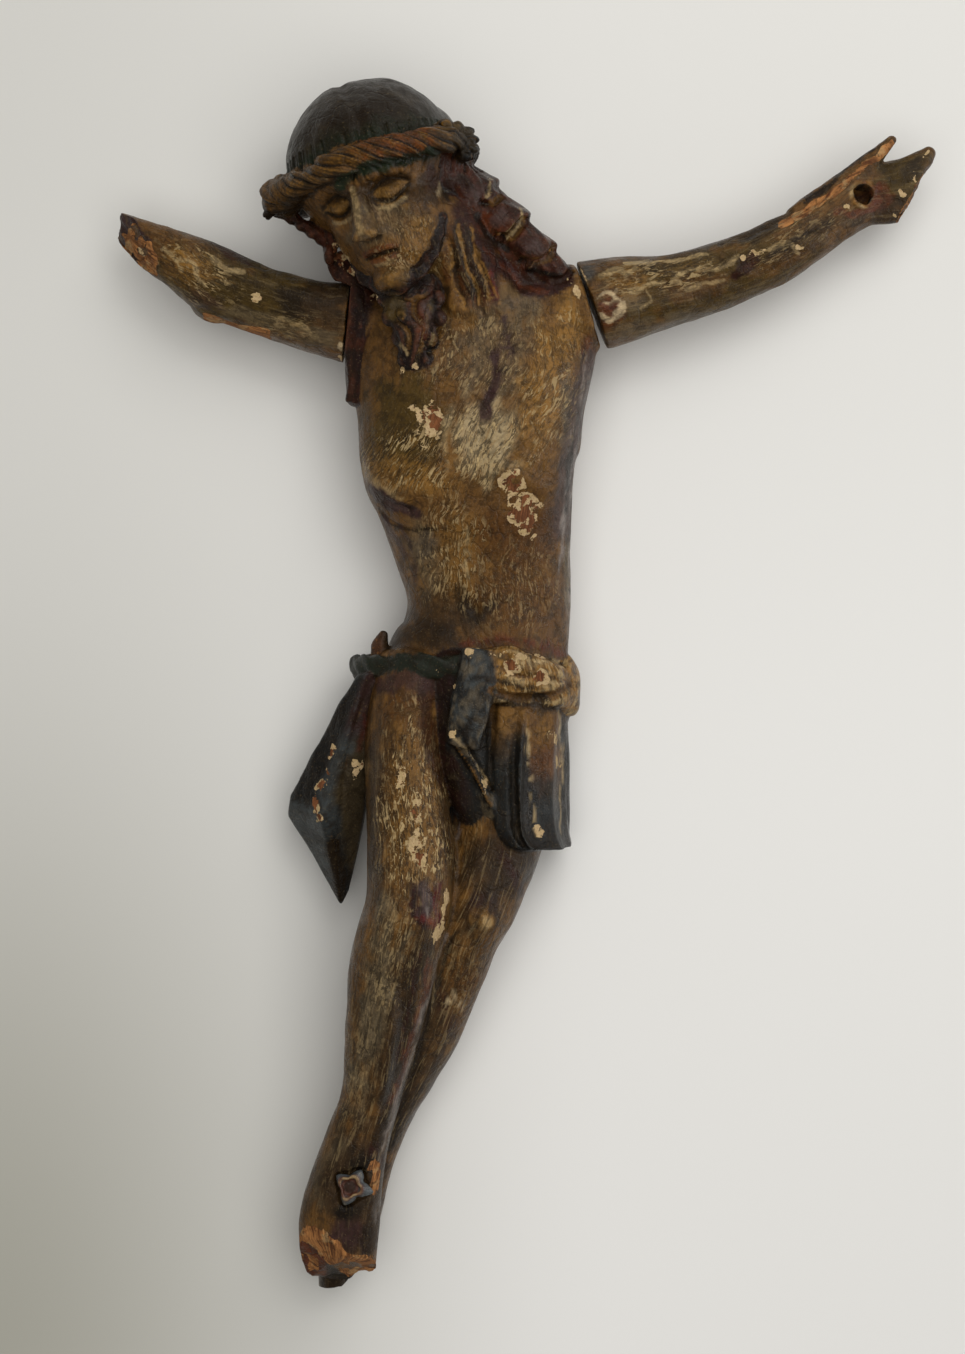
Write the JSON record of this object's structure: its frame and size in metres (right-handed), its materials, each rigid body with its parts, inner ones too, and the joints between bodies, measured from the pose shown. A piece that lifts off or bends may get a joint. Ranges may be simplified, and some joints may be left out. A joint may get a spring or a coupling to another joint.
{
  "type": "crucifix corpus figure",
  "caption": "Carved and painted wooden crucifix corpus lying on its flat back, with a roped crown, a knotted loincloth, separate arms, crossed legs and broken hands and feet.",
  "frame": {"origin": "middle of the flat back, between the hips and the shoulder blades, on the plane that the figure lies on", "axes": "+Z out of the chest, +Y from the feet towards the head, +X towards the figure's left hand"},
  "size_m": [0.2154, 0.3187, 0.0575],
  "materials": {
    "painted_figure": "old oil paint over gesso on wood, darkened glossy varnish, worn and chipped",
    "painted_arms": "old oil paint over gesso on wood, darkened glossy varnish, worn and chipped",
    "painted_nail": "grey-black paint on carved wood, worn to bare wood at the edges"
  },
  "bodies": {
    "root": {"corpus": "painted_figure", "right_arm": "painted_arms", "left_arm": "painted_arms", "foot_nail": "painted_nail"}
  },
  "joints": []
}
